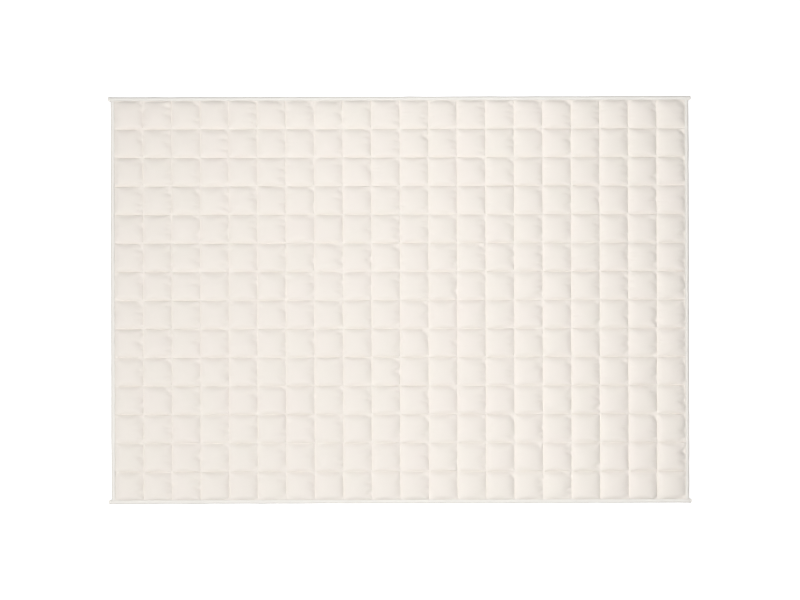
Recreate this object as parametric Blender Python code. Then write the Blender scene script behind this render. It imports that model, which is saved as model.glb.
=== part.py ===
"""A weighted blanket lying flat: one filled panel, quilted into square pockets, with its raw edges
closed by four folded tapes. The origin is in the middle of the underside, on the surface that the
blanket lies on. +X runs along the long side, +Y along the short side and +Z up."""

import math
import random
from collections import namedtuple

import bmesh
import bpy
from mathutils import Vector

# Sizes that drive the rest, in metres.
LENGTH = 2.000  # between the outer edges of the two side tapes
COLUMNS = 20
ROWS = 14
TAPE_WIDTH = 0.013  # how far a folded tape reaches in from the blanket's outer edge
TAPE_THICKNESS = 0.001  # one layer of the tape's cloth
TAPE_OVERRUN = 0.008  # how far a long tape runs past the side tape at a corner
SEAM_THICKNESS = 0.003  # both covers and the wadding, sewn flat
GAP = 0.0003  # between pieces that touch
CROWN = 0.0165  # top of an average pocket above the surface

# Sizes worked out from them.
POCKET = (LENGTH - 2 * TAPE_WIDTH) / COLUMNS
WIDTH = ROWS * POCKET + 2 * TAPE_WIDTH
SEAM_BOTTOM = TAPE_THICKNESS + GAP
SEAM_TOP = SEAM_BOTTOM + SEAM_THICKNESS
TAPE_HEIGHT = SEAM_TOP + GAP + TAPE_THICKNESS
MARGIN = TAPE_WIDTH - TAPE_THICKNESS - GAP  # flat edge of the panel, inside the tapes

# How a pocket rises from its seams to its middle: inset is a share of the pocket's side, and rise is
# a share of the height from the seam to the crown.
Ring = namedtuple("Ring", "inset rise")
CROWN_RINGS = (
    Ring(inset=0.14, rise=0.60),
    Ring(inset=0.30, rise=0.92),
)
PAD_INSET = 0.12  # of the pocket's side, from the seam to the flat pad that it rests on

# How a tape's folded end narrows: back is the distance from its tip in metres, and size is a share
# of the tape's full section.
End = namedtuple("End", "back size")
FOLDED_END = (
    End(back=0.0, size=0.55),
    End(back=0.0008, size=0.82),
    End(back=0.0026, size=1.0),
)
ARC_STEPS = 8  # flats round the outer fold of a tape

# The filling lies a little unevenly, and the seams wander.
SEED = 14
SEAM_WANDER = 0.0010
CROWN_SPREAD = 0.0009
PEAK_DRIFT = 0.0060

CLOTH_COLOUR = (0.86, 0.80, 0.73, 1.0)
TAPE_COLOUR = (0.84, 0.81, 0.76, 1.0)


def clear_scene():
    for old in list(bpy.data.objects):
        bpy.data.objects.remove(old)


def cloth_material(name, colour, roughness):
    material = bpy.data.materials.new(name)
    material.use_nodes = True
    shader = material.node_tree.nodes["Principled BSDF"]
    shader.inputs["Base Color"].default_value = colour
    shader.inputs["Roughness"].default_value = roughness
    shader.inputs["Metallic"].default_value = 0.0
    return material


def object_from(bm, name, material):
    """Closes a bmesh into a named object, with its faces pointing out."""
    bmesh.ops.recalc_face_normals(bm, faces=bm.faces)
    mesh = bpy.data.meshes.new(name)
    bm.to_mesh(mesh)
    bm.free()
    mesh.materials.append(material)
    made = bpy.data.objects.new(name, mesh)
    bpy.context.collection.objects.link(made)
    return made


# The quilted panel


def grid_line(index, count):
    """Distance from the middle of seam `index` of `count` pockets; -1 and count + 1 are raw edges."""
    if index < 0:
        return -(count / 2 * POCKET + MARGIN)
    if index > count:
        return count / 2 * POCKET + MARGIN
    return (index - count / 2) * POCKET


def crossing(column, row, chance):
    """Where two seams cross. Only crossings away from the tapes wander."""
    place = Vector((grid_line(column, COLUMNS), grid_line(row, ROWS)))
    if 0 < column < COLUMNS and 0 < row < ROWS:
        place.x += chance.uniform(-SEAM_WANDER, SEAM_WANDER)
        place.y += chance.uniform(-SEAM_WANDER, SEAM_WANDER)
    return place


def bridge(bm, outer, inner):
    """Joins two rings of as many vertices with a band of faces."""
    for k, vertex in enumerate(outer):
        after = (k + 1) % len(outer)
        bm.faces.new((vertex, outer[after], inner[after], inner[k]))


def drawn_in(bm, ring, middle, inset, z):
    """A ring like the given one, drawn in by a share of the pocket's side, at one height."""
    return [bm.verts.new((*v.co.xy.lerp(middle, 2 * inset), z)) for v in ring]


def add_pocket(bm, top, bottom, chance):
    """One filled pocket between its four seams: a crowned top, and a flat pad underneath."""
    middle = sum((v.co.xy for v in top), Vector((0.0, 0.0))) / len(top)
    crown = CROWN + chance.uniform(-CROWN_SPREAD, CROWN_SPREAD)
    outer = top
    for ring in CROWN_RINGS:
        inner = drawn_in(bm, top, middle, ring.inset, SEAM_TOP + ring.rise * (crown - SEAM_TOP))
        bridge(bm, outer, inner)
        outer = inner
    drift = Vector((chance.uniform(-PEAK_DRIFT, PEAK_DRIFT), chance.uniform(-PEAK_DRIFT, PEAK_DRIFT)))
    peak = bm.verts.new((*(middle + drift), crown))
    for k, vertex in enumerate(outer):
        bm.faces.new((vertex, outer[(k + 1) % len(outer)], peak))
    pad = drawn_in(bm, bottom, middle, PAD_INSET, 0.0)
    bridge(bm, bottom, pad)
    bm.faces.new(pad)


def add_edge_wall(bm, tops, bottoms):
    """The raw edge of the panel, from each top vertex round the border to the one below it."""
    for k, vertex in enumerate(tops):
        after = (k + 1) % len(tops)
        bm.faces.new((vertex, tops[after], bottoms[after], bottoms[k]))


def border():
    """The grid's outermost crossings, once round."""
    near = [(i, -1) for i in range(-1, COLUMNS + 1)]
    right = [(COLUMNS + 1, j) for j in range(-1, ROWS + 1)]
    far = [(i, ROWS + 1) for i in range(COLUMNS + 1, -1, -1)]
    left = [(-1, j) for j in range(ROWS + 1, -1, -1)]
    return near + right + far + left


def quilted_panel():
    """Two covers sewn together through the filling along every seam, with a flat margin all round."""
    chance = random.Random(SEED)
    bm = bmesh.new()
    top, bottom = {}, {}
    for i in range(-1, COLUMNS + 2):
        for j in range(-1, ROWS + 2):
            place = crossing(i, j, chance)
            top[i, j] = bm.verts.new((*place, SEAM_TOP))
            bottom[i, j] = bm.verts.new((*place, SEAM_BOTTOM))
    for i in range(-1, COLUMNS + 1):
        for j in range(-1, ROWS + 1):
            corners = ((i, j), (i + 1, j), (i + 1, j + 1), (i, j + 1))
            above = [top[c] for c in corners]
            below = [bottom[c] for c in corners]
            if 0 <= i < COLUMNS and 0 <= j < ROWS:
                add_pocket(bm, above, below, chance)
            else:
                bm.faces.new(above)
                bm.faces.new(below)
    add_edge_wall(bm, [top[c] for c in border()], [bottom[c] for c in border()])
    return object_from(bm, "quilted_panel", cloth_material("cover_cloth", CLOTH_COLOUR, roughness=0.9))


# The tapes. A tape is made along X with its outer fold towards +Y, and then turned to its edge.


def tape_section():
    """The folded tape's outline across Y and Z: flat lips, and a round fold on the outer edge."""
    radius = TAPE_HEIGHT / 2
    points = [Vector((GAP, 0.0))]
    for step in range(ARC_STEPS + 1):
        angle = math.pi * (step / ARC_STEPS - 0.5)
        fold = (TAPE_WIDTH - radius + radius * math.cos(angle), radius + radius * math.sin(angle))
        points.append(Vector(fold))
    points.append(Vector((GAP, TAPE_HEIGHT)))
    return points


def tape_stations(half, folded):
    """Places along the tape and the size of its section there, from one end to the other."""
    if not folded:
        return [(-half, 1.0), (half, 1.0)]
    left = [(-half + end.back, end.size) for end in FOLDED_END]
    right = [(half - end.back, end.size) for end in reversed(FOLDED_END)]
    return left + right


def tape_slot(name, half_slot, owner):
    """The room between the tape's two lips for the panel's margin, cut out of the tape."""
    bm = bmesh.new()
    bmesh.ops.create_cube(bm, size=1.0)
    depth = 2 * (MARGIN + GAP)
    height = SEAM_THICKNESS + 2 * GAP
    bmesh.ops.scale(bm, verts=bm.verts, vec=(2 * half_slot, depth, height))
    bmesh.ops.translate(bm, verts=bm.verts, vec=(0.0, 0.0, TAPE_THICKNESS + height / 2))
    cutter = object_from(bm, name + "_slot", owner.data.materials[0])
    cutter.hide_render = True
    cutter.display_type = "WIRE"
    cutter.parent = owner
    cut = owner.modifiers.new("slot", "BOOLEAN")
    cut.operation = "DIFFERENCE"
    cut.object = cutter


def folded_tape(name, half, half_slot, folded, edge, turn):
    """One tape, folded over the panel's margin, `edge` metres from the middle and turned about Z."""
    bm = bmesh.new()
    section = tape_section()
    centre = Vector((TAPE_WIDTH / 2, 0.0))
    rings = []
    for x, size in tape_stations(half, folded):
        rings.append([bm.verts.new((x, *centre.lerp(point, size))) for point in section])
    for one, other in zip(rings, rings[1:]):
        bridge(bm, one, other)
    bm.faces.new(rings[0])
    bm.faces.new(rings[-1])
    tape = object_from(bm, name, cloth_material(name + "_cloth", TAPE_COLOUR, roughness=0.85))
    tape_slot(name, half_slot, tape)
    tape.rotation_euler.z = turn
    tape.location = Vector((-math.sin(turn), math.cos(turn), 0.0)) * edge
    return tape


def long_tapes():
    """The far and near tapes run past the side tapes, with their ends folded in."""
    edge = ROWS / 2 * POCKET
    half = LENGTH / 2 + TAPE_OVERRUN
    half_slot = COLUMNS / 2 * POCKET + MARGIN + GAP
    folded_tape("binding_far", half, half_slot, True, edge, 0.0)
    folded_tape("binding_near", half, half_slot, True, edge, math.pi)


def side_tapes():
    """The side tapes stop against the inner edges of the long ones."""
    edge = COLUMNS / 2 * POCKET
    half = ROWS / 2 * POCKET
    folded_tape("binding_left", half, half + MARGIN, False, edge, math.pi / 2)
    folded_tape("binding_right", half, half + MARGIN, False, edge, -math.pi / 2)


clear_scene()
quilted_panel()
long_tapes()
side_tapes()
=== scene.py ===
import math
from collections import namedtuple

import bpy
import numpy as np
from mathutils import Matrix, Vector


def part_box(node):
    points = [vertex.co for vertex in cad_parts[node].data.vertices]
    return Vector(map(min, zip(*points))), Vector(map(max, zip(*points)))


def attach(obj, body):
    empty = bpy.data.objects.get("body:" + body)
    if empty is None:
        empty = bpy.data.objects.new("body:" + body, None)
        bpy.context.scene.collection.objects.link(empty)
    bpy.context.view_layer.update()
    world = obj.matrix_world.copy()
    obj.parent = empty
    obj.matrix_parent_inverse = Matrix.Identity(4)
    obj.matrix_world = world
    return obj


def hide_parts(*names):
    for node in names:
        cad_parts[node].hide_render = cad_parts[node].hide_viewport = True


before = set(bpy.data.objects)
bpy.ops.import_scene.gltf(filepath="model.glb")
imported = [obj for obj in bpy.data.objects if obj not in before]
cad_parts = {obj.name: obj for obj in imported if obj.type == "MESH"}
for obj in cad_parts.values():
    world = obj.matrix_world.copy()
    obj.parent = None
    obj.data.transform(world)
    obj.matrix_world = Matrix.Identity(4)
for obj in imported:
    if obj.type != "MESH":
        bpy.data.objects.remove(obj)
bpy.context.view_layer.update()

# The quilted panel. Two cotton covers with wadding and glass beads between them are sewn through in
# columns and rows, so that each square pocket stands up from its seams. The covers are cut a little
# larger than the sewn panel, and the spare cloth puckers beside the seams, most of all the columns'.

COLUMNS = 20
ROWS = 14
GAP = 0.0003  # between the panel's outermost seams and the tapes
half_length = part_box("binding_right")[0].x - GAP
half_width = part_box("binding_far")[0].y - GAP
margin_x, margin_y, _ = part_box("quilted_panel")[1]
POCKET = 2 * half_length / COLUMNS

CELLS_ACROSS = 12  # mesh cells over one pocket
CELLS_ALONG = 24
CROWDED_ACROSS = 1.60  # how far the mesh's lines crowd towards the seams, from 1 for even cells
CROWDED_ALONG = 1.15
UNDER_ACROSS, UNDER_ALONG = 2, 4  # the under cover's mesh has every so many of the lines

SPARE_ACROSS = 0.025  # share of spare cloth between the seams
SPARE_ALONG = 0.050
CROSSING_STRAY = 0.0004  # how far a crossing strays, in metres
FEED_COLUMNS = 0.0012  # how unevenly the cloth was fed along the columns' seams, in metres
FEED_ROWS = 0.0005
FEED_AT_CROSSINGS = 0.3  # share of it at the crossings, where two seams hold the cloth
SEAM_SWAY = 0.0003  # how far a seam strays sideways between crossings
KNOTS = 4  # to a pocket, by which a seam's stray is drawn
KNOT_DRIFT = 0.07  # how far a knot may lie off its even place, in pockets
FIRST_BULGE = 0.004  # of the pockets when the simulation starts, and how uneven they are
FIRST_CREASES = 0.0004
SEWN_BY = 8  # frame by which the cloth simulation has drawn the seams in
LAST_MOMENT = 12  # and the frame that it ends at
CLOTH_SETTINGS = {
    "vertex_group_mass": "seams",
    "mass": 0.003,
    "bending_stiffness": 0.05,
    "tension_damping": 1.0,
    "compression_damping": 1.0,
    "shear_damping": 1.0,
    "use_pressure": True,
    "uniform_pressure_force": 900.0,  # of the filling on the cover
}
FILLED = 1.08  # how high the pockets stand, as a share of what the cloth alone would
FULLER_ALONG = -0.20  # and how much more than that near the seams, or less below 0
FULLER_ACROSS = 0.32
HELD_DOWN = 0.30  # share by which the filling is pressed flat beside the stitches
HELD_REACH = 0.0050
SEAM_STEP = 0.0003  # how deep the thread pulls a seam in beside its pockets
COLUMN_STEP = 0.0006  # and how much deeper a column's seam, whose thread is tighter

SEAM_UPPER = 0.0034  # heights of the two covers in a seam
SEAM_UNDER = 0.0016
BORDER_SEAM = 0.0051  # of the outermost seams' upper cover, beside the tapes
MARGIN_UPPER = 0.0040  # and in the margin that the tapes hold
MARGIN_UNDER = 0.0015
CONTACT = 0.0045  # relief from which the under cover lies flat
SHARP_FROM = math.radians(60)  # angle from which an edge is shaded sharp

chance = np.random.default_rng(14)


def mesh_lines(pockets, cells, crowded):
    """The mesh's lines over a run of pockets, in pockets, with narrower cells beside each seam."""
    from_seam = 0.5 * np.linspace(0.0, 1.0, cells // 2 + 1) ** crowded
    one = np.append(from_seam, 1 - from_seam[-2:0:-1])
    return np.append((np.arange(pockets)[:, None] + one).ravel(), pockets)


def between_crossings(lines, pockets):
    """How much each crossing counts at each line, which makes straight seams between crossings."""
    return np.maximum(0.0, 1.0 - np.abs(lines[:, None] - np.arange(pockets + 1)))


def uneven(lines, pockets, seams, reach, at_crossings):
    """How far each of several seams strays at each line. It goes by knots, of which those at the crossings
    stray by only a share of what the rest do."""
    knots = np.arange(KNOTS * pockets + 1) / KNOTS
    strays = []
    for _ in range(seams):
        drift = chance.uniform(-KNOT_DRIFT, KNOT_DRIFT, knots.size)
        drift[::KNOTS] = 0.0
        stray = chance.normal(0.0, reach, knots.size)
        stray[::KNOTS] *= at_crossings
        drawn = np.interp(lines, knots + drift, stray)
        strays.append(np.convolve(np.pad(drawn, 1, mode="edge"), (0.25, 0.5, 0.25), mode="valid"))
    return np.array(strays)


across = mesh_lines(COLUMNS, CELLS_ACROSS, CROWDED_ACROSS)
along = mesh_lines(ROWS, CELLS_ALONG, CROWDED_ALONG)
flat_x, flat_y = np.meshgrid(across * POCKET - half_length, along * POCKET - half_width)


def sewn_plan():
    """Where each point of the covers lies, seen from above, once the seams are sewn."""
    stray = chance.uniform(-CROSSING_STRAY, CROSSING_STRAY, (2, ROWS + 1, COLUMNS + 1))
    rows, columns = between_crossings(along, ROWS), between_crossings(across, COLUMNS).T
    x = flat_x + rows @ stray[0] @ columns
    y = flat_y + rows @ stray[1] @ columns
    y[:, ::CELLS_ACROSS] += uneven(along, ROWS, COLUMNS + 1, FEED_COLUMNS, FEED_AT_CROSSINGS).T
    x[::CELLS_ALONG] += uneven(across, COLUMNS, ROWS + 1, FEED_ROWS, FEED_AT_CROSSINGS)
    x[:, ::CELLS_ACROSS] += uneven(along, ROWS, COLUMNS + 1, SEAM_SWAY, 0.0).T
    y[::CELLS_ALONG] += uneven(across, COLUMNS, ROWS + 1, SEAM_SWAY, 0.0)
    x[:, 0], x[:, -1] = -half_length, half_length
    y[0], y[-1] = -half_width, half_width
    return x, y


def mound(flatness):
    """A smooth mound over each pocket, from 0 in its seams to 1 in its middle."""
    over_row, over_column = (1 - np.abs(2 * (lines % 1) - 1) ** flatness for lines in (along, across))
    return np.outer(over_row, over_column)


def grid_faces(points):
    """The quads of a grid of point numbers, counter-clockwise."""
    corners = (points[:-1, :-1], points[:-1, 1:], points[1:, 1:], points[1:, :-1])
    return np.stack(corners, axis=-1).reshape(-1, 4)


def held_down(from_middle):
    """How much less the filling stands beside a seam, from how far a line is off its pocket's middle."""
    beside_seam = (1 - np.abs(from_middle)) * POCKET / 2
    return HELD_DOWN * np.exp(-((beside_seam / HELD_REACH) ** 2))


def settled(cut, sewn, in_seam):
    """The upper cover's points after a cloth simulation, which draws the seams in from the cut cloth's
    places to the sewn ones while the filling presses from below."""
    mesh = bpy.data.meshes.new("cover")
    faces = grid_faces(np.arange(in_seam.size).reshape(in_seam.shape))
    mesh.from_pydata(cut.reshape(-1, 3).tolist(), [], faces.tolist())
    cloth = bpy.data.objects.new("cover", mesh)
    bpy.context.scene.collection.objects.link(cloth)
    cloth.vertex_groups.new(name="seams").add(np.flatnonzero(in_seam).tolist(), 1.0, "REPLACE")
    cloth.shape_key_add(name="cut")
    sewing = cloth.shape_key_add(name="sewn")
    sewing.data.foreach_set("co", sewn.reshape(-1).astype(np.float32))
    pressing = cloth.modifiers.new("pressing", "CLOTH")
    pressing.collision_settings.use_collision = False
    pressing.settings.effector_weights.gravity = 0.0
    for name, value in CLOTH_SETTINGS.items():
        setattr(pressing.settings, name, value)
    pressing.point_cache.frame_start, pressing.point_cache.frame_end = 1, LAST_MOMENT
    for moment, drawn in ((1, 0.0), (SEWN_BY, 1.0)):
        sewing.value = drawn
        sewing.keyframe_insert("value", frame=moment)
    for moment in range(1, LAST_MOMENT + 1):
        bpy.context.scene.frame_set(moment)
    shaped = cloth.evaluated_get(bpy.context.evaluated_depsgraph_get()).data
    points = np.empty(3 * in_seam.size, np.float32)
    shaped.vertices.foreach_get("co", points)
    bpy.data.objects.remove(cloth)
    bpy.data.meshes.remove(mesh)
    bpy.context.scene.frame_set(1)
    return points.reshape(*in_seam.shape, 3).astype(float)


def drawn_in_cover(x, y):
    """The upper cover's points, with its seams at height 0 and its pockets filled."""
    bulge = mound(2)
    unrest = chance.uniform(-1, 1, bulge.shape)
    start = FIRST_BULGE * bulge + FIRST_CREASES * np.minimum(1, 4 * bulge) * unrest
    sewn = np.stack((x, y, start), axis=-1)
    cut = np.stack((flat_x * (1 + SPARE_ACROSS), flat_y * (1 + SPARE_ALONG), start), axis=-1)
    in_seam = np.zeros(x.shape, bool)
    in_seam[::CELLS_ALONG] = True
    in_seam[:, ::CELLS_ACROSS] = True
    points = settled(cut, sewn, in_seam)
    inner = points[1:-1, 1:-1]
    around = (points[:-2, 1:-1] + points[2:, 1:-1] + points[1:-1, :-2] + points[1:-1, 2:]) / 4
    points[1:-1, 1:-1] = np.where(in_seam[1:-1, 1:-1, None], inner, 0.5 * (inner + around))
    off_along, off_across = (2 * (lines % 1) - 1 for lines in (along, across))
    fuller_along = 1 + FULLER_ALONG * off_along**2 - held_down(off_along)
    fuller_across = 1 + FULLER_ACROSS * off_across**2 - held_down(off_across)
    fuller = FILLED * fuller_along[:, None] * fuller_across
    step = SEAM_STEP + COLUMN_STEP * off_across**2
    points[..., 2] = np.maximum(points[..., 2] * fuller, 0.0) + step
    points[in_seam, 2] = 0.0
    return points


Creases = namedtuple("Creases", "side spacing depth reach width")
CREASES = (  # from each side's seam into a pocket: spacing, depth, where it is deepest, and width in metres
    Creases(side="right", spacing=0.021, depth=0.0040, reach=0.0100, width=0.0072),
    Creases(side="left", spacing=0.025, depth=0.0014, reach=0.0085, width=0.0066),
    Creases(side="far", spacing=0.023, depth=0.0023, reach=0.0080, width=0.0058),
    Creases(side="near", spacing=0.030, depth=0.0013, reach=0.0070, width=0.0060),
)
HEADINGS = {"right": 180.0, "left": 0.0, "far": 270.0, "near": 90.0}  # into the pocket, in degrees
CREASE_HELD = 0.003  # from a seam, over which it holds the creases flat
FIRST_PLACE = (0.3, 0.9)  # of the first crease along a seam, in spacings
PLACE_DRIFT = 0.3  # of every crease
SLANT = 24.0  # usual slant of a crease off its heading, in degrees
DEPTHS = (0.1, 1.5)  # least and greatest, as a share of the table's depth
SPREAD_OUT = 0.8  # share of the creases' hollow by which the cloth between them stands up
CORNER_SHARE = 0.65  # of the pockets that have a long crease across their far right corner
CORNER_CREASE = Creases(side="corner", spacing=None, depth=0.0042, reach=0.0130, width=0.0048)
CORNER_STARTS = (0.012, 0.030)  # from that corner, along the far seam
CORNER_HEADINGS = (300.0, 325.0)
CORNER_DEPTHS = (0.5, 1.2)


def swell(ahead, reach):
    """0 at a seam, 1 at a reach from it, and fading out further on."""
    run = np.maximum(ahead / reach, 0.0)
    return run**2 * np.exp(2 - 2 * run)


def trough(x, y, start, heading, crease, depth):
    """A soft trough that starts at a point, is deepest at its reach and fades out along its heading."""
    ahead = (x - start[0]) * math.cos(heading) + (y - start[1]) * math.sin(heading)
    aside = (y - start[1]) * math.cos(heading) - (x - start[0]) * math.sin(heading)
    return depth * swell(ahead, crease.reach) * np.exp(-((aside / crease.width) ** 2))


def pocket_creases(x, y):
    """How deep the creases of one pocket are at each of its points, which are in metres from its corner.
    Between them the cloth stands up by as much."""
    sunk = np.zeros_like(x)
    into = {"right": POCKET - x, "left": x, "far": POCKET - y, "near": y}
    for crease in CREASES:
        heading = math.radians(HEADINGS[crease.side])
        spread_out = SPREAD_OUT * crease.depth * math.sqrt(math.pi) * crease.width / crease.spacing
        sunk -= spread_out * swell(into[crease.side], crease.reach)
        first = crease.spacing * chance.uniform(*FIRST_PLACE)
        for place in np.arange(first, POCKET, crease.spacing):
            place += crease.spacing * chance.uniform(-PLACE_DRIFT, PLACE_DRIFT)
            starts = {
                "right": (POCKET, place),
                "left": (0.0, place),
                "far": (place, POCKET),
                "near": (place, 0.0),
            }
            slant = math.radians(chance.normal(0.0, SLANT))
            depth = crease.depth * chance.uniform(*DEPTHS)
            sunk += trough(x, y, starts[crease.side], heading + slant, crease, depth)
    if chance.random() < CORNER_SHARE:
        heading = math.radians(chance.uniform(*CORNER_HEADINGS))
        start = (POCKET - chance.uniform(*CORNER_STARTS), POCKET)
        depth = CORNER_CREASE.depth * chance.uniform(*CORNER_DEPTHS)
        sunk += trough(x, y, start, heading, CORNER_CREASE, depth)
    return sunk


def creased(points):
    """Presses each pocket's creases into the cover, leaving its seams as they are."""
    for row in range(ROWS):
        for column in range(COLUMNS):
            part = points[row * CELLS_ALONG :, column * CELLS_ACROSS :][: CELLS_ALONG + 1, : CELLS_ACROSS + 1]
            x = part[..., 0] - (column * POCKET - half_length)
            y = part[..., 1] - (row * POCKET - half_width)
            beside_seam = np.minimum(np.minimum(x, POCKET - x), np.minimum(y, POCKET - y))
            held = smooth_step(beside_seam / CREASE_HELD)
            inner = part[1:-1, 1:-1]
            lowered = inner[..., 2] - (held * pocket_creases(x, y))[1:-1, 1:-1]
            inner[..., 2] = np.maximum(lowered, SEAM_STEP)
    return points


def smooth_step(share):
    """0 up to a share of 0 and 1 from a share of 1, with a soft rise between them."""
    share = np.clip(share, 0.0, 1.0)
    return share * share * (3 - 2 * share)


def with_margin(points, height, seam_height):
    """A grid of points with its outermost seams at one height, and a flat margin round them at another."""
    wide = np.pad(points, ((1, 1), (1, 1), (0, 0)), mode="edge")
    wide[:, 0, 0], wide[:, -1, 0] = -margin_x, margin_x
    wide[0, :, 1], wide[-1, :, 1] = -margin_y, margin_y
    wide[:2, :, 2] = wide[-2:, :, 2] = seam_height
    wide[:, :2, 2] = wide[:, -2:, 2] = seam_height
    wide[0, :, 2] = wide[-1, :, 2] = height
    wide[:, 0, 2] = wide[:, -1, 2] = height
    return wide


plan_x, plan_y = sewn_plan()
relief = creased(drawn_in_cover(plan_x, plan_y))
upper = relief + (0.0, 0.0, SEAM_UPPER)
under = np.stack((plan_x, plan_y, SEAM_UNDER * (1 - smooth_step(relief[:, ::-1, 2] / CONTACT))), axis=-1)


def panel_mesh():
    """One closed mesh: the upper cover, the under cover on fewer lines, and the raw edge that the tapes
    hide. Its UV map counts pockets, so that a pattern can follow the seams."""
    top = with_margin(upper, MARGIN_UPPER, BORDER_SEAM)
    steps = zip(top.shape[:2], (UNDER_ALONG, UNDER_ACROSS))
    rows, columns = (np.r_[0, 1 : size - 1 : step, size - 1] for size, step in steps)
    bottom = with_margin(under, MARGIN_UNDER, MARGIN_UNDER)[np.ix_(rows, columns)]
    top_numbers = np.arange(top[..., 0].size).reshape(top.shape[:2])
    bottom_numbers = top_numbers.size + np.arange(bottom[..., 0].size).reshape(bottom.shape[:2])
    faces = grid_faces(top_numbers).tolist() + grid_faces(bottom_numbers)[:, ::-1].tolist()
    below = dict(zip(top_numbers[np.ix_(rows, columns)].ravel().tolist(), bottom_numbers.ravel().tolist()))
    sides = (top_numbers[0, :-1], top_numbers[:-1, -1], top_numbers[-1, :0:-1], top_numbers[:0:-1, 0])
    edge = np.concatenate(sides).tolist()
    corners = [k for k, number in enumerate(edge) if number in below]
    edge.append(edge[0])
    for start, end in zip(corners, corners[1:] + [len(edge) - 1]):
        faces.append([below[edge[start]], below[edge[end]]] + edge[start : end + 1][::-1])
    mesh = bpy.data.meshes.new("quilted_panel")
    mesh.from_pydata(np.concatenate((top.reshape(-1, 3), bottom.reshape(-1, 3))).tolist(), [], faces)
    edge_u, edge_v = (margin_x - half_length) / POCKET, (margin_y - half_width) / POCKET
    u, v = np.meshgrid(np.r_[-edge_u, across, COLUMNS + edge_u], np.r_[-edge_v, along, ROWS + edge_v])
    counted = np.stack((u, v), axis=-1)
    at_points = np.concatenate((counted.reshape(-1, 2), counted[np.ix_(rows, columns)].reshape(-1, 2)))
    at_corners = np.empty(len(mesh.loops), np.int32)
    mesh.loops.foreach_get("vertex_index", at_corners)
    uv = at_points[at_corners].astype(np.float32)
    mesh.uv_layers.new(name="pockets").uv.foreach_set("vector", uv.ravel())
    mesh.shade_smooth()
    mesh.set_sharp_from_angle(angle=SHARP_FROM)
    return mesh


class Socket:
    """A node's output, for use in expressions: each operator adds a Math node to the same tree."""

    def __init__(self, socket):
        self.socket = socket

    def node(self, kind, settings, values):
        """Adds a node of any other kind: its settings are set first, then its sockets' values or links."""
        tree = self.socket.id_data
        made = tree.nodes.new(kind)
        for name, setting in settings.items():
            setattr(made, name, setting)
        for name, value in values.items():
            if isinstance(value, Socket):
                tree.links.new(value.socket, made.inputs[name])
            else:
                made.inputs[name].default_value = value
        return Socket(made.outputs[0])

    def other(self, output):
        """Another output of the same node."""
        return Socket(self.socket.node.outputs[output])

    def maths(self, operation, *others):
        return self.node("ShaderNodeMath", {"operation": operation}, dict(enumerate((self, *others))))

    def __add__(self, other):
        return self.maths("ADD", other)

    def __sub__(self, other):
        return self.maths("SUBTRACT", other)

    def __rsub__(self, other):
        return self.node("ShaderNodeMath", {"operation": "SUBTRACT"}, {0: other, 1: self})

    def __mul__(self, other):
        return self.maths("MULTIPLY", other)

    __radd__, __rmul__ = __add__, __mul__


def cloth_material(name, roughness, sheen):
    """A new cloth material, its shader, and its places in metres and in its UV map."""
    material = bpy.data.materials.new(name)
    material.use_nodes = True
    shader = material.node_tree.nodes["Principled BSDF"]
    shader.inputs["Roughness"].default_value = roughness
    shader.inputs["Sheen Weight"].default_value = sheen
    shader.inputs["Sheen Roughness"].default_value = SHEEN_ROUGHNESS
    shader.inputs["Specular IOR Level"].default_value = SHINE
    body = Socket(material.node_tree.nodes.new("ShaderNodeTexCoord").outputs["Object"])
    return material, shader, body, body.other("UV")


def noise(place, scale):
    """Soft noise from 0 to 1 on a place, at so many lumps to its unit."""
    return place.node("ShaderNodeTexNoise", {}, {"Vector": place, "Scale": scale, "Detail": 2.0})


def blended(share, first, second):
    """A colour between two, by a share from 0 to 1."""
    return share.node("ShaderNodeMix", {"data_type": "RGBA"}, {0: share, 6: first, 7: second}).other(2)


def stretched(place, scales):
    return place.node("ShaderNodeVectorMath", {"operation": "MULTIPLY"}, {0: place, 1: scales})


def fading(distance, reach):
    """1 at a distance of 0, falling softly to 0 at a reach."""
    values = {"Value": distance, "From Min": 0.0, "From Max": reach, "To Min": 1.0, "To Max": 0.0}
    return distance.node("ShaderNodeMapRange", {"interpolation_type": "SMOOTHSTEP"}, values)


def plain_weave(place, thread):
    """Height of a plain weave from 0 to 1, with its threads this far apart in metres."""
    x = place.node("ShaderNodeSeparateXYZ", {}, {0: place})
    warp, weft = ((count * (math.pi / thread)).maths("SINE") for count in (x, x.other("Y")))
    return warp * weft * 0.5 + 0.5


def finished(material, shader, height, colour):
    """Gives a cloth its colour and, as bump, its height in metres."""
    bump = height.node("ShaderNodeBump", {}, {"Height": height, "Distance": 1.0, "Strength": 1.0})
    material.node_tree.links.new(bump.socket, shader.inputs["Normal"])
    material.node_tree.links.new(colour.socket, shader.inputs["Base Color"])


SHEEN_ROUGHNESS = 0.5  # of every cloth and thread
SHINE = 0.2
COVER_CREAM = (0.766, 0.730, 0.668, 1.0)
COVER_WARM = (0.781, 0.722, 0.679, 1.0)
COVER_PATCHES = 7.0  # of either colour, to a metre
THREAD_SPACING = 0.00045
WEAVE_DEPTH = 0.00003
COLUMN_PUCKERS = (6.0, 12.0, 0.0)  # to a pocket, across and along
ROW_PUCKERS = (11.0, 6.0, 0.0)
PUCKER_DEPTH = 0.00060  # beside a column's seam
ROW_SHARE = 0.5  # of that depth, beside a row's
PUCKER_REACH = 0.13  # of a pocket, from the seam

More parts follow.
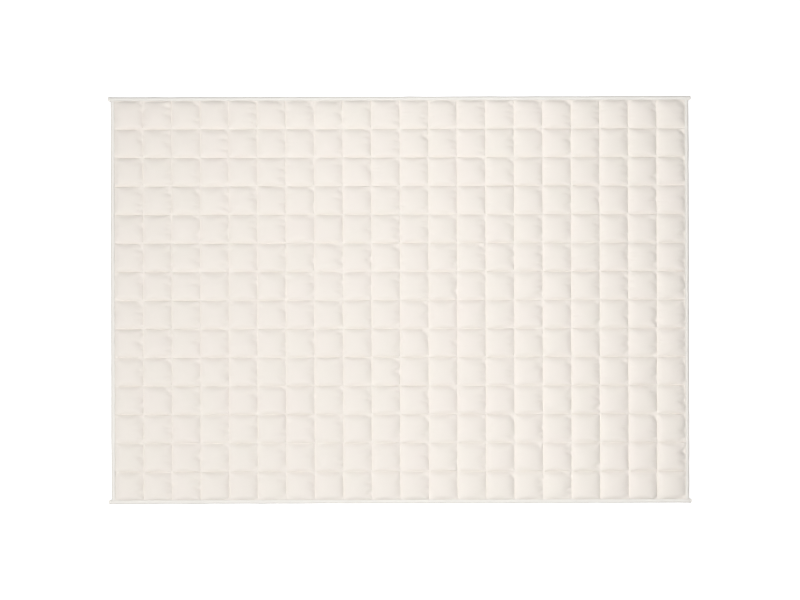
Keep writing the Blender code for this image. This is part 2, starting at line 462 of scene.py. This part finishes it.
cover_cloth, cover_shader, body, pockets = cloth_material("cover_cloth", roughness=0.9, sheen=0.15)
pocket_u = pockets.node("ShaderNodeSeparateXYZ", {}, {0: pockets})
beside_column, beside_row = (
    fading(count.maths("PINGPONG", 0.5), PUCKER_REACH) for count in (pocket_u, pocket_u.other("Y"))
)
column_puckers = noise(stretched(pockets, COLUMN_PUCKERS), 1.0) * beside_column
row_puckers = noise(stretched(pockets, ROW_PUCKERS), 1.0) * beside_row
weave = plain_weave(body, THREAD_SPACING)
height = (column_puckers + row_puckers * ROW_SHARE) * PUCKER_DEPTH + weave * WEAVE_DEPTH
finished(cover_cloth, cover_shader, height, blended(noise(body, COVER_PATCHES), COVER_CREAM, COVER_WARM))

panel = bpy.data.objects.new("quilted_panel_covers", panel_mesh())
panel.data.materials.append(cover_cloth)
bpy.context.scene.collection.objects.link(panel)
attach(panel, "root")
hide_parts("quilted_panel")

# The quilting thread. One row of lockstitch runs along every seam through both covers, so that a short
# plump length of cotton thread shows for each stitch, above and below, sunk between the pockets.

Stitch = namedtuple("Stitch", "pitch length thickness")
SEAM_STITCH = Stitch(pitch=0.0036, length=0.0030, thickness=0.00040)
STITCH_SIZES = {"Min": (0.88, 0.85, 0.85), "Max": (1.06, 1.15, 1.15)}  # length, width and height, as shares
THREAD_LIFT = 0.00012  # of a thread's middle above the cloth
THREAD_CREAM = (0.780, 0.740, 0.690, 1.0)


def stitch_nodes():
    """A geometry node tree that lays a stitch at each pitch along the lines of a mesh."""
    tree = bpy.data.node_groups.new("stitches", "GeometryNodeTree")
    inputs = {"Geometry": "Geometry", "Pitch": "Float", "Length": "Float", "Thickness": "Float"}
    inputs |= {"Seed": "Int", "Material": "Material"}
    for name, kind in inputs.items():
        tree.interface.new_socket(name, in_out="INPUT", socket_type="NodeSocket" + kind)
    tree.interface.new_socket("Geometry", in_out="OUTPUT", socket_type="NodeSocketGeometry")
    given = tree.nodes.new("NodeGroupInput")
    lines, pitch, length, thickness, seed, material = (Socket(given.outputs[name]) for name in inputs)
    curves = lines.node("GeometryNodeMeshToCurve", {}, {"Mesh": lines})
    spots = lines.node("GeometryNodeCurveToPoints", {"mode": "LENGTH"}, {"Curve": curves, "Length": pitch})
    level = {"axis": "X", "pivot_axis": "Z"}
    heading = lines.node("FunctionNodeAlignRotationToVector", level, {"Vector": spots.other("Tangent")})
    bead = lines.node("GeometryNodeMeshUVSphere", {}, {"Segments": 6, "Rings": 2, "Radius": 0.5})
    size = lines.node("ShaderNodeCombineXYZ", {}, {"X": thickness, "Y": thickness, "Z": length})
    laid = {"Geometry": bead, "Rotation": (0.0, math.pi / 2, 0.0), "Scale": size}
    stitch = lines.node("GeometryNodeTransform", {}, laid)
    sizes = {**STITCH_SIZES, "Seed": seed}
    uneven_size = lines.node("FunctionNodeRandomValue", {"data_type": "FLOAT_VECTOR"}, sizes)
    placed = {"Points": spots, "Instance": stitch, "Rotation": heading, "Scale": uneven_size}
    stitches = lines.node("GeometryNodeInstanceOnPoints", {}, placed)
    merged = lines.node("GeometryNodeRealizeInstances", {}, {"Geometry": stitches})
    smooth = lines.node("GeometryNodeSetShadeSmooth", {}, {"Geometry": merged})
    coloured = lines.node("GeometryNodeSetMaterial", {}, {"Geometry": smooth, "Material": material})
    tree.links.new(coloured.socket, tree.nodes.new("NodeGroupOutput").inputs["Geometry"])
    return tree


def stitched(name, lines, stitch, seed, material):
    """A piece of stitches along lines of points, each line an array of them."""
    ends = np.cumsum([len(line) for line in lines])
    steps = np.setdiff1d(np.arange(ends[-1]), ends - 1)
    mesh = bpy.data.meshes.new(name)
    mesh.from_pydata(np.concatenate(lines).tolist(), np.stack((steps, steps + 1), axis=-1).tolist(), [])
    piece = bpy.data.objects.new(name, mesh)
    bpy.context.scene.collection.objects.link(piece)
    sewing = piece.modifiers.new("stitches", "NODES")
    sewing.node_group = stitches
    values = {"Pitch": stitch.pitch, "Length": stitch.length, "Thickness": stitch.thickness}
    values |= {"Seed": seed, "Material": material}
    for socket in stitches.interface.items_tree:
        if socket.in_out == "INPUT" and socket.name in values:
            sewing[socket.identifier] = values[socket.name]
    piece.update_tag()
    sewn = piece.evaluated_get(bpy.context.evaluated_depsgraph_get())
    piece.data = bpy.data.meshes.new_from_object(sewn)
    piece.modifiers.clear()
    bpy.data.meshes.remove(mesh)
    return piece


def seam_lines(cover, cells_along, cells_across, lift):
    """The inner seams of a cover as lines of points, lifted a little."""
    raised = cover + (0.0, 0.0, lift)
    columns = [raised[:, k * cells_across] for k in range(1, COLUMNS)]
    return columns + [raised[k * cells_along] for k in range(1, ROWS)]


stitches = stitch_nodes()
thread, thread_shader, _, _ = cloth_material("quilting_thread", roughness=0.7, sheen=0.1)
thread_shader.inputs["Base Color"].default_value = THREAD_CREAM
under_lines = under[::UNDER_ALONG, ::UNDER_ACROSS]
under_cells = (CELLS_ALONG // UNDER_ALONG, CELLS_ACROSS // UNDER_ACROSS)
seams = {
    "upper": seam_lines(upper, CELLS_ALONG, CELLS_ACROSS, THREAD_LIFT),
    "under": seam_lines(under_lines, *under_cells, -THREAD_LIFT),
}
for seed, (side, lines) in enumerate(seams.items()):
    piece = stitched("quilting_thread_" + side, lines, SEAM_STITCH, seed, thread)
    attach(piece, "root")

# The binding. A woven tape is folded over each raw edge and sewn through near its two inner edges. The
# long tapes run a little past the corners, over the ends of the short ones, and are closed there.

TAPE_CLOTH = 0.0009
PLUMP = 0.0010  # that a tape stands higher than its plain solid
OVERLAP = 0.0012  # over the panel's outermost seams
ROUNDED_UPPER = 0.0085  # how far in the fold's rounding reaches, above and below
ROUNDED_UNDER = 0.0022
FOLD_HEIGHT = 0.36  # of the outermost point, as a share of the tape's
SEWN_AT = 0.0022  # of the sewing, from the inner edge
NEAR_SEWING = (0.0, 0.0008, 0.0015, 0.0019, SEWN_AT, 0.0025, 0.0030, 0.0042)  # points from that edge
DIPS = {"upper": 0.0005, "under": 0.00025}  # that the sewing pulls into the tape
DIP_REACH = 0.0006
FOLD_POINTS = 8  # round the fold's upper part
SLOT = (  # under the panel's margin: how far out, and how high
    (0.0002, TAPE_CLOTH),
    (0.0045, TAPE_CLOTH),
    (0.0088, 0.0012),
    (0.0113, 0.0016),
)
PUSHED_UP = 0.0004  # how far a pocket lifts the tape's inner edge
STATION = 0.0032  # between the mesh's cross sections
OUTER_WANDER = (0.055, 0.00035)  # spacing of the knots and usual reach, for the fold
INNER_WANDER = (0.035, 0.00025)  # for the inner edges
HEIGHT_WANDER = (0.080, 0.00012)  # for the upper leg's height
LEFT_NUB, RIGHT_NUB = 0.0015, -0.0005  # how much longer the ends are than the plain ones
NUB_DISTANCE = (0.0, 0.0004, 0.0010, 0.0020, 0.0034)  # of a nub's cross sections, from its end
NUB_SIZE = (0.62, 0.82, 0.96, 1.06, 1.12)  # flared, as the turned-in end makes it fuller
NUB_HEIGHT = 0.85  # as a share of the tape's
NUB_STATIONS = 0.0045  # over which a long tape's own even stations are left out
NUB_ENDS = 0.014  # from its end, where a nub's flare has died out
CLOSING = 0.012  # from its end, where a long tape starts to close, past the panel
CLOSING_RUN = 0.008  # over which it closes
SLOT_CLOSED = 0.9  # share of the slot that closes
TAPE_WHITE = (0.790, 0.767, 0.727, 1.0)
TAPE_GREY = (0.762, 0.738, 0.696, 1.0)
FOLD_SHADE_GREY = (0.600, 0.581, 0.550, 1.0)  # painted shade along the fold's outer edge, where the rounded fold turns away from the light
TAPE_PATCHES = 18.0  # of white and grey, to a metre
FOLD_AT = 0.0150  # of the fold, round the tape from its upper inner edge
FOLD_SHADE_REACH = 0.0080
FOLD_SHADE_PATCHES = 30.0
FOLD_SHADE_LEAST, FOLD_SHADE_MORE = 0.4, 0.8  # how strong the painted shade along the fold is, and how much more in patches
TWILL = 0.0009  # between the tape's slanting ribs
TWILL_DEPTH = 0.00005
RIPPLES = (70.0, 45.0, 0.0)  # soft ripples to a metre, along the tape and round it
RIPPLE_DEPTH = 0.0005
TAPE_STITCH = Stitch(pitch=0.0028, length=0.0024, thickness=0.00036)
THREAD_CLEAR = 0.00024  # least height of a thread's middle above the floor
THREAD_ENDS = 3  # stations at each end of a tape that its thread leaves free
Tape = namedtuple("Tape", "side quarter_turns nubs flat_length")
TAPES = (
    Tape(side="far", quarter_turns=0, nubs=(LEFT_NUB, RIGHT_NUB), flat_length=2.040),
    Tape(side="left", quarter_turns=1, nubs=None, flat_length=1.382),
    Tape(side="near", quarter_turns=2, nubs=(RIGHT_NUB, LEFT_NUB), flat_length=2.040),
    Tape(side="right", quarter_turns=3, nubs=None, flat_length=1.382),
)


def wander(places, knots):
    """How far something strays at each place along a tape, by knots at a spacing."""
    spacing, usual = knots
    share, knot = np.modf((places - places[0]) / spacing)
    knot = knot.astype(int)
    stray = chance.normal(0.0, usual, knot[-1] + 2)
    return stray[knot] + (stray[knot + 1] - stray[knot]) * smooth_step(share)


def folded_section(width, height):
    """The outline of a folded tape: how far out from its inner edges, and how high. Also the numbers of
    the two points that the sewing goes through."""
    near_sewing = np.array(NEAR_SEWING)
    dip = np.exp(-(((near_sewing - SEWN_AT) / DIP_REACH) ** 2))
    turn = height * FOLD_HEIGHT
    arc = np.radians(np.linspace(90.0, 0.0, FOLD_POINTS))
    under_arc = arc[::-2][1:]
    parts = (
        (near_sewing, height - DIPS["upper"] * dip),
        (width - ROUNDED_UPPER * (1 - np.cos(arc)), turn + (height - turn) * np.sin(arc)),
        (width - ROUNDED_UNDER * (1 - np.cos(under_arc)), turn * (1 - np.sin(under_arc))),
        (near_sewing[::-1], DIPS["under"] * dip[::-1]),
    )
    slot = np.array(SLOT)
    slot_end = [(width - TAPE_CLOTH, turn)]
    upper_slot = slot[::-1] * (1.0, -1.0) + (0.0, height)
    outside = np.concatenate([np.stack(part, axis=-1) for part in parts])
    outline = np.concatenate((outside, slot, slot_end, upper_slot))
    sewn = NEAR_SEWING.index(SEWN_AT)
    return outline[:, 0], outline[:, 1], (sewn, len(outside) - 1 - sewn)


def tape_points(low, high, nubs):
    """A tape's points by cross section and outline, as run, out and up. nubs says how much longer each end
    is made and closed, or is None for plain ends."""
    (start, inner, _), (end, outer, height) = low, high
    inner -= OVERLAP
    height += PLUMP
    out, up, sewn = folded_section(outer - inner, height)
    extra = nubs or (-OVERLAP, -OVERLAP)
    start, end = start - extra[0], end + extra[1]
    places = np.linspace(start, end, int((end - start) / STATION))
    if nubs:
        ends = np.array(NUB_DISTANCE)
        middle = places[(places > start + NUB_STATIONS) & (places < end - NUB_STATIONS)]
        places = np.concatenate((start + ends, middle, end - ends[::-1]))
    share = out / (outer - inner)
    from_seam = np.sin(np.pi * (places - half_length) / POCKET) ** 2
    upper_leg = np.clip(up / height * 2 - 1, 0.0, 1.0)
    run = np.repeat(places[:, None], out.size, axis=1)
    outer_stray = wander(places, OUTER_WANDER)[:, None]
    inner_stray = wander(places, INNER_WANDER)[:, None]
    out = out + outer_stray * share + inner_stray * (1 - share)
    up = up + wander(places, HEIGHT_WANDER)[:, None] * upper_leg
    up = up + PUSHED_UP * from_seam[:, None] * upper_leg * (1 - share)
    if nubs:
        from_end = np.minimum(places - start, end - places)
        size = np.interp(from_end, (*NUB_DISTANCE, NUB_ENDS), (*NUB_SIZE, 1.0))[:, None]
        past = smooth_step((CLOSING - from_end) / CLOSING_RUN)[:, None]
        middle_out, middle_up = (outer - inner) / 2, height * NUB_HEIGHT / 2
        in_slot = (np.arange(out.shape[1]) >= out.shape[1] - 2 * len(SLOT) - 1)[None, :]
        up = up * (1 - past * (1 - NUB_HEIGHT))
        up = np.where(in_slot, up + (middle_up - up) * past * SLOT_CLOSED, up)
        out = middle_out + (out - middle_out) * size
        up = np.maximum(middle_up + (up - middle_up) * (size * past + 1 - past), 0.0)
    return np.stack((run, inner + out, up), axis=-1), sewn


def tape_mesh(name, points):
    """A closed mesh from a tape's points, with a UV map in metres along the tape and round it."""
    stations, outline = points.shape[:2]
    number = np.arange(stations * outline).reshape(stations, outline)
    number = np.append(number, number[:, :1], axis=1)
    faces = np.stack((number[:-1, :-1], number[1:, :-1], number[1:, 1:], number[:-1, 1:]), axis=-1)
    caps = [number[0, :-1].tolist(), number[-1, :-1][::-1].tolist()]
    mesh = bpy.data.meshes.new(name)
    mesh.from_pydata(points.reshape(-1, 3).tolist(), [], faces.reshape(-1, 4).tolist() + caps)
    section = points[stations // 2]
    sides = np.linalg.norm(np.roll(section, -1, axis=0) - section, axis=1)
    round_it = np.append(0.0, np.cumsum(sides))
    steps = np.linalg.norm(np.diff(points[:, 0], axis=0), axis=1)
    along_it = np.append(0.0, np.cumsum(steps))
    v, u = np.meshgrid(round_it, along_it)
    spread = np.stack((u, v), axis=-1)
    corners = np.stack((spread[:-1, :-1], spread[1:, :-1], spread[1:, 1:], spread[:-1, 1:]), axis=2)
    ends = np.concatenate((spread[0, :-1], spread[-1, :-1][::-1]))
    at_corners = np.concatenate((corners.reshape(-1, 2), ends)).astype(np.float32)
    mesh.uv_layers.new(name="tape").uv.foreach_set("vector", at_corners.ravel())
    mesh.shade_smooth()
    mesh.set_sharp_from_angle(angle=SHARP_FROM)
    return mesh


def turned(points, quarter_turns):
    """Points turned about the vertical by quarter turns, counter-clockwise."""
    angle = math.radians(90 * quarter_turns)
    x, y, z = np.moveaxis(points, -1, 0)
    turned_x = x * math.cos(angle) - y * math.sin(angle)
    turned_y = x * math.sin(angle) + y * math.cos(angle)
    return np.stack((turned_x, turned_y, z), axis=-1)


tape_cloth, tape_shader, tape_body, tape_uv = cloth_material("binding_tape", roughness=0.85, sheen=0.1)
along_tape = tape_uv.node("ShaderNodeSeparateXYZ", {}, {0: tape_uv})
round_tape = along_tape.other("Y")
ribs = ((along_tape + round_tape) * (2 * math.pi / TWILL)).maths("SINE") * (TWILL_DEPTH / 2)
ripples = noise(stretched(tape_uv, RIPPLES), 1.0) * RIPPLE_DEPTH
tape_own_colour = blended(noise(tape_body, TAPE_PATCHES), TAPE_WHITE, TAPE_GREY)
# Painted shade: the tape's colour is darkened along its rounded fold, where the cloth turns away from the
# light, more in some patches than others.
painted_fold_shade = fading((round_tape - FOLD_AT).maths("ABSOLUTE"), FOLD_SHADE_REACH)
fold_shade_amount = noise(tape_body, FOLD_SHADE_PATCHES) * FOLD_SHADE_MORE + FOLD_SHADE_LEAST
finished(tape_cloth, tape_shader, ribs + ripples, blended(painted_fold_shade * fold_shade_amount, tape_own_colour, FOLD_SHADE_GREY))

tape_thread, tape_thread_shader, _, _ = cloth_material("binding_thread", roughness=0.7, sheen=0.1)
tape_thread_shader.inputs["Base Color"].default_value = TAPE_WHITE
for seed, (side, quarter_turns, nubs, flat_length) in enumerate(TAPES, start=10):
    corners = turned(np.array([list(corner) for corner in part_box("binding_" + side)]), -quarter_turns)
    points, sewn = tape_points(corners.min(axis=0), corners.max(axis=0), nubs)
    points = turned(points, quarter_turns)
    tape = bpy.data.objects.new("binding_tape_" + side, tape_mesh("binding_tape_" + side, points))
    tape.data.materials.append(tape_cloth)
    bpy.context.scene.collection.objects.link(tape)
    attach(tape, "root")
    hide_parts("binding_" + side)
    upper_line, under_line = (points[THREAD_ENDS:-THREAD_ENDS, number] for number in sewn)
    lines = [upper_line + (0.0, 0.0, THREAD_LIFT), np.maximum(under_line, (-np.inf, -np.inf, THREAD_CLEAR))]
    piece = stitched("binding_thread_" + side, lines, TAPE_STITCH, seed, tape_thread)
    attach(piece, "root")

# The room: a plain white ground that glows a little, as a lit table does, and white all round it. The
# blanket itself is lit by a dimmer ground and sky, by one large light far off beyond the left near corner
# and by smaller soft ones overhead.

GROUND_REACH = 60.0
GROUND_DROP = 0.0005  # below the blanket, so that no face of it lies in the ground
GROUND_WHITE = (0.55, 0.55, 0.55, 1.0)
GROUND_GLOW = 0.89  # enough for the ground to look white as far as it reaches
GROUND_GREY = (0.30, 0.30, 0.30, 1.0)  # what the blanket is lit by
SKY = 0.217
BACKDROP = 1.0  # how white the room looks beyond the ground
Light = namedtuple("Light", "name x y z size power")
LIGHTS = (
    Light(name="main", x=-3.2, y=-2.0, z=5.0, size=2.0, power=234.0),
    Light(name="far_left", x=-0.6, y=1.2, z=1.8, size=1.0, power=6.9),
    Light(name="far_right", x=0.6, y=1.2, z=1.8, size=1.0, power=11.2),
    Light(name="near_right", x=0.6, y=-1.2, z=1.8, size=1.0, power=10.7),
    Light(name="right", x=1.8, y=0.0, z=1.8, size=1.0, power=5.0),
)
AIMED_IN = 0.2  # where a light aims, as a share of its own distance from the middle

ground_mesh = bpy.data.meshes.new("ground")
square = ((-1, -1), (1, -1), (1, 1), (-1, 1))
corners = [(x * GROUND_REACH, y * GROUND_REACH, -GROUND_DROP) for x, y in square]
ground_mesh.from_pydata(corners, [], [(0, 1, 2, 3)])
ground = bpy.data.objects.new("ground", ground_mesh)
bpy.context.scene.collection.objects.link(ground)
ground_paint = bpy.data.materials.new("ground")
ground_paint.use_nodes = True
tree = ground_paint.node_tree
shown_white = tree.nodes["Principled BSDF"]
shown_white.inputs["Base Color"].default_value = GROUND_WHITE
shown_white.inputs["Roughness"].default_value = 1.0
shown_white.inputs["Specular IOR Level"].default_value = 0.0
shown_white.inputs["Emission Color"].default_value = (1.0, 1.0, 1.0, 1.0)
shown_white.inputs["Emission Strength"].default_value = GROUND_GLOW
matt_grey = tree.nodes.new("ShaderNodeBsdfDiffuse")
matt_grey.inputs["Color"].default_value = GROUND_GREY
seen = Socket(tree.nodes.new("ShaderNodeLightPath").outputs["Is Camera Ray"])
surfaces = {0: seen, 1: Socket(matt_grey.outputs[0]), 2: Socket(shown_white.outputs[0])}
ground_surface = seen.node("ShaderNodeMixShader", {}, surfaces)
tree.links.new(ground_surface.socket, tree.nodes["Material Output"].inputs["Surface"])
ground_mesh.materials.append(ground_paint)

world = bpy.data.worlds.new("studio")
world.use_nodes = True
background = world.node_tree.nodes["Background"]
background.inputs["Color"].default_value = (1.0, 1.0, 1.0, 1.0)
seen = Socket(world.node_tree.nodes.new("ShaderNodeLightPath").outputs["Is Camera Ray"])
world.node_tree.links.new((seen * (BACKDROP - SKY) + SKY).socket, background.inputs["Strength"])
bpy.context.scene.world = world
bpy.context.scene.view_settings.view_transform = "Standard"

for light in LIGHTS:
    lamp = bpy.data.lights.new(light.name, "AREA")
    lamp.size = light.size
    lamp.energy = light.power
    shown = bpy.data.objects.new(light.name, lamp)
    shown.location = (light.x, light.y, light.z)
    aim = Vector((AIMED_IN * light.x, AIMED_IN * light.y, 0.0))
    shown.rotation_euler = (aim - shown.location).to_track_quat("-Z", "Y").to_euler()
    shown.visible_camera = False
    bpy.context.scene.collection.objects.link(shown)

# The camera looks straight down on the middle, turned by a hair, and takes in the whole blanket with a
# wide white border.

VIEW_WIDTH = 2.770
TURN = math.radians(-0.14)
camera_data = bpy.data.cameras.new("camera")
camera = bpy.data.objects.new("camera", camera_data)
camera.location = (0.0, 0.0, VIEW_WIDTH * camera_data.lens / camera_data.sensor_width)
camera.rotation_euler = (0.0, 0.0, TURN)
bpy.context.scene.collection.objects.link(camera)
bpy.context.scene.camera = camera
